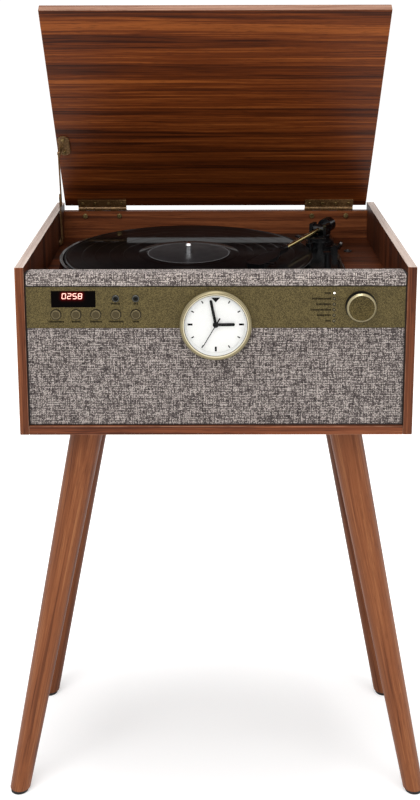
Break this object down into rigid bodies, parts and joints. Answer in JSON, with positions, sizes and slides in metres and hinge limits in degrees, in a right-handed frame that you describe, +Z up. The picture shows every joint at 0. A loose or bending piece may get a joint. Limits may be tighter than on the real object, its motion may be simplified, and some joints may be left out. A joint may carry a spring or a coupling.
{
  "type": "record player",
  "caption": "Console record player in a walnut box on splayed tapered legs, with a cloth front, a clock, a control strip and a lid held open by a stay.",
  "frame": {"origin": "on the floor, below the middle of the cabinet", "axes": "+X to the right as seen from the front, +Y to the back, +Z up"},
  "size_m": [0.5128, 0.3512, 0.9616],
  "materials": {
    "walnut_panel": "satin walnut veneer",
    "walnut_lid": "satin walnut veneer",
    "walnut_deck": "satin walnut veneer",
    "baffle_board": "black stained board",
    "leg_wood": "satin turned wood",
    "leg_steel": "black painted steel",
    "glide_rubber": "matt",
    "grille_cloth": "woven tweed",
    "bronze_strip": "satin olive bronze",
    "display_pane": "dark tinted gloss",
    "bronze_trim": "satin bronze",
    "black_trim": "gloss",
    "light_lens": "clear diffuse",
    "circuit_green": "circuit board",
    "clock_pane": "clear polished",
    "dial_white": "satin white",
    "hand_black": "black lacquer",
    "movement_black": "matt",
    "chassis_black": "fine satin",
    "platter_metal": "cast and turned",
    "spindle_chrome": "polished",
    "record_vinyl": "grooved gloss",
    "belt_rubber": "matt",
    "motor_steel": "plated",
    "tonearm_gold": "polished gold",
    "head_black": "satin black",
    "antique_brass": "antique",
    "screw_brass": "antique",
    "speaker_black": "matt black",
    "socket_black": "matt black"
  },
  "bodies": {
    "cabinet": {"side_panel_left": "walnut_panel", "side_panel_right": "walnut_panel", "bottom_panel": "walnut_panel", "back_panel": "walnut_panel", "front_baffle": "baffle_board", "grille_cloth_upper": "grille_cloth", "grille_cloth_lower": "grille_cloth", "control_fascia": "bronze_strip", "display_window": "display_pane", "jack_sockets": "black_trim", "indicator_lights": "light_lens", "circuit_boards": "circuit_green", "clock_bezel": "bronze_trim", "clock_glass": "clock_pane", "clock_dial": "dial_white", "clock_movement": "movement_black", "deck_board": "walnut_deck", "turntable_chassis": "chassis_black", "platter_motor": "motor_steel", "drive_belt": "belt_rubber", "tonearm_base": "chassis_black", "arm_rest": "chassis_black", "hinge_cabinet_leaves": "antique_brass", "stay_wall_bracket": "antique_brass", "leg_front_left": "leg_wood", "leg_front_right": "leg_wood", "leg_rear_left": "leg_wood", "leg_rear_right": "leg_wood", "leg_plates": "leg_steel", "foot_glides": "glide_rubber", "speakers": "speaker_black", "rear_socket_plate": "socket_black", "cabinet_screws": "screw_brass"},
    "lid": {"lid_panel": "walnut_lid", "hinge_lid_leaves": "antique_brass", "lid_screws": "screw_brass", "stay_lid_bracket": "antique_brass"},
    "stay_lower": {"stay_lower_bar": "antique_brass"},
    "stay_upper": {"stay_upper_bar": "antique_brass"},
    "platter": {"platter": "platter_metal", "spindle": "spindle_chrome", "record": "record_vinyl"},
    "motor_pulley": {"motor_pulley": "motor_steel"},
    "tonearm_yoke": {"tonearm_yoke": "chassis_black"},
    "tonearm": {"tonearm_tube": "tonearm_gold", "tonearm_carrier": "head_black", "headshell": "head_black", "cartridge": "head_black"},
    "cue_lever": {"cue_lever": "chassis_black"},
    "cue_lift": {"cue_lift": "chassis_black"},
    "speed_lever": {"speed_lever": "chassis_black"},
    "control_knob": {"control_knob": "bronze_trim"},
    "hour_hand": {"hour_hand": "hand_black"},
    "minute_hand": {"minute_hand": "hand_black"},
    "second_hand": {"second_hand": "hand_black"},
    "button_1": {"button_1": "bronze_trim"},
    "button_2": {"button_2": "bronze_trim"},
    "button_3": {"button_3": "bronze_trim"},
    "button_4": {"button_4": "bronze_trim"},
    "button_5": {"button_5": "bronze_trim"}
  },
  "joints": [
    {"name": "lid_hinge", "type": "hinge", "parent": "cabinet", "child": "lid", "pos_m": [0, 0.164, 0.6834], "axis": [1, 0, 0], "range_deg": [0, 55]},
    {"name": "stay_swing", "type": "hinge", "parent": "cabinet", "child": "stay_lower", "pos_m": [-0.2025, 0.12, 0.6485], "axis": [1, 0, 0], "range_deg": [-0.5, 56.3]},
    {"name": "stay_slide", "type": "slide", "parent": "stay_lower", "child": "stay_upper", "axis": [0, -0.2087, 0.978], "range_m": [-0.0523, 0.0005]},
    {"name": "platter_spin", "type": "hinge", "parent": "cabinet", "child": "platter", "pos_m": [-0.033, 0.004, 0.6603], "axis": [0, 0, -1], "continuous": true},
    {"name": "motor_spin", "type": "hinge", "parent": "cabinet", "child": "motor_pulley", "pos_m": [-0.09664, 0.06764, 0.6425], "axis": [0, 0, -1], "continuous": true},
    {"name": "tonearm_swing", "type": "hinge", "parent": "cabinet", "child": "tonearm_yoke", "pos_m": [0.134, 0.082, 0.6735], "axis": [0, 0, 1], "range_deg": [-23, 26.5]},
    {"name": "tonearm_lift", "type": "hinge", "parent": "tonearm_yoke", "child": "tonearm", "pos_m": [0.134, 0.082, 0.6735], "axis": [0.8949, -0.4462, 0], "range_deg": [-6, 0]},
    {"name": "cue_lever_turn", "type": "hinge", "parent": "cabinet", "child": "cue_lever", "pos_m": [0.152, 0.038, 0.6595], "axis": [1, 0, 0], "range_deg": [-70.5, 0.5]},
    {"name": "cue_lift_rise", "type": "slide", "parent": "cabinet", "child": "cue_lift", "axis": [0, 0, 1], "range_m": [-0.0002, 0.004]},
    {"name": "speed_turn", "type": "hinge", "parent": "cabinet", "child": "speed_lever", "pos_m": [0.138, -0.095, 0.6505], "axis": [0, 0, 1], "range_deg": [0, 40]},
    {"name": "knob_turn", "type": "hinge", "parent": "cabinet", "child": "control_knob", "pos_m": [0.156, -0.167, 0.64635], "axis": [0, 1, 0], "range_deg": [-140, 140]},
    {"name": "minute_turn", "type": "hinge", "parent": "cabinet", "child": "minute_hand", "pos_m": [0, -0.167, 0.626], "axis": [0, 1, 0], "continuous": true},
    {"name": "hour_turn", "type": "hinge", "parent": "cabinet", "child": "hour_hand", "pos_m": [0, -0.167, 0.626], "axis": [0, 1, 0], "continuous": true},
    {"name": "second_turn", "type": "hinge", "parent": "cabinet", "child": "second_hand", "pos_m": [0, -0.167, 0.626], "axis": [0, 1, 0], "continuous": true},
    {"name": "button_1_press", "type": "slide", "parent": "cabinet", "child": "button_1", "axis": [0, 1, 0], "range_m": [0, 0.0012], "stiffness_N_per_m": 400},
    {"name": "button_2_press", "type": "slide", "parent": "cabinet", "child": "button_2", "axis": [0, 1, 0], "range_m": [0, 0.0012], "stiffness_N_per_m": 400},
    {"name": "button_3_press", "type": "slide", "parent": "cabinet", "child": "button_3", "axis": [0, 1, 0], "range_m": [0, 0.0012], "stiffness_N_per_m": 400},
    {"name": "button_4_press", "type": "slide", "parent": "cabinet", "child": "button_4", "axis": [0, 1, 0], "range_m": [0, 0.0012], "stiffness_N_per_m": 400},
    {"name": "button_5_press", "type": "slide", "parent": "cabinet", "child": "button_5", "axis": [0, 1, 0], "range_m": [0, 0.0012], "stiffness_N_per_m": 400}
  ],
  "couplings": [
    {"joint": "stay_swing", "follows": "lid_hinge", "ratio": 1.0146},
    {"joint": "stay_slide", "follows": "lid_hinge", "m_per_rad": -0.05401},
    {"joint": "motor_spin", "follows": "platter_spin", "ratio": 10},
    {"joint": "cue_lever_turn", "follows": "tonearm_lift", "ratio": 11.667},
    {"joint": "cue_lift_rise", "follows": "tonearm_lift", "m_per_rad": -0.0363},
    {"joint": "hour_turn", "follows": "minute_turn", "ratio": 0.083333},
    {"joint": "second_turn", "follows": "minute_turn", "ratio": 60}
  ]
}
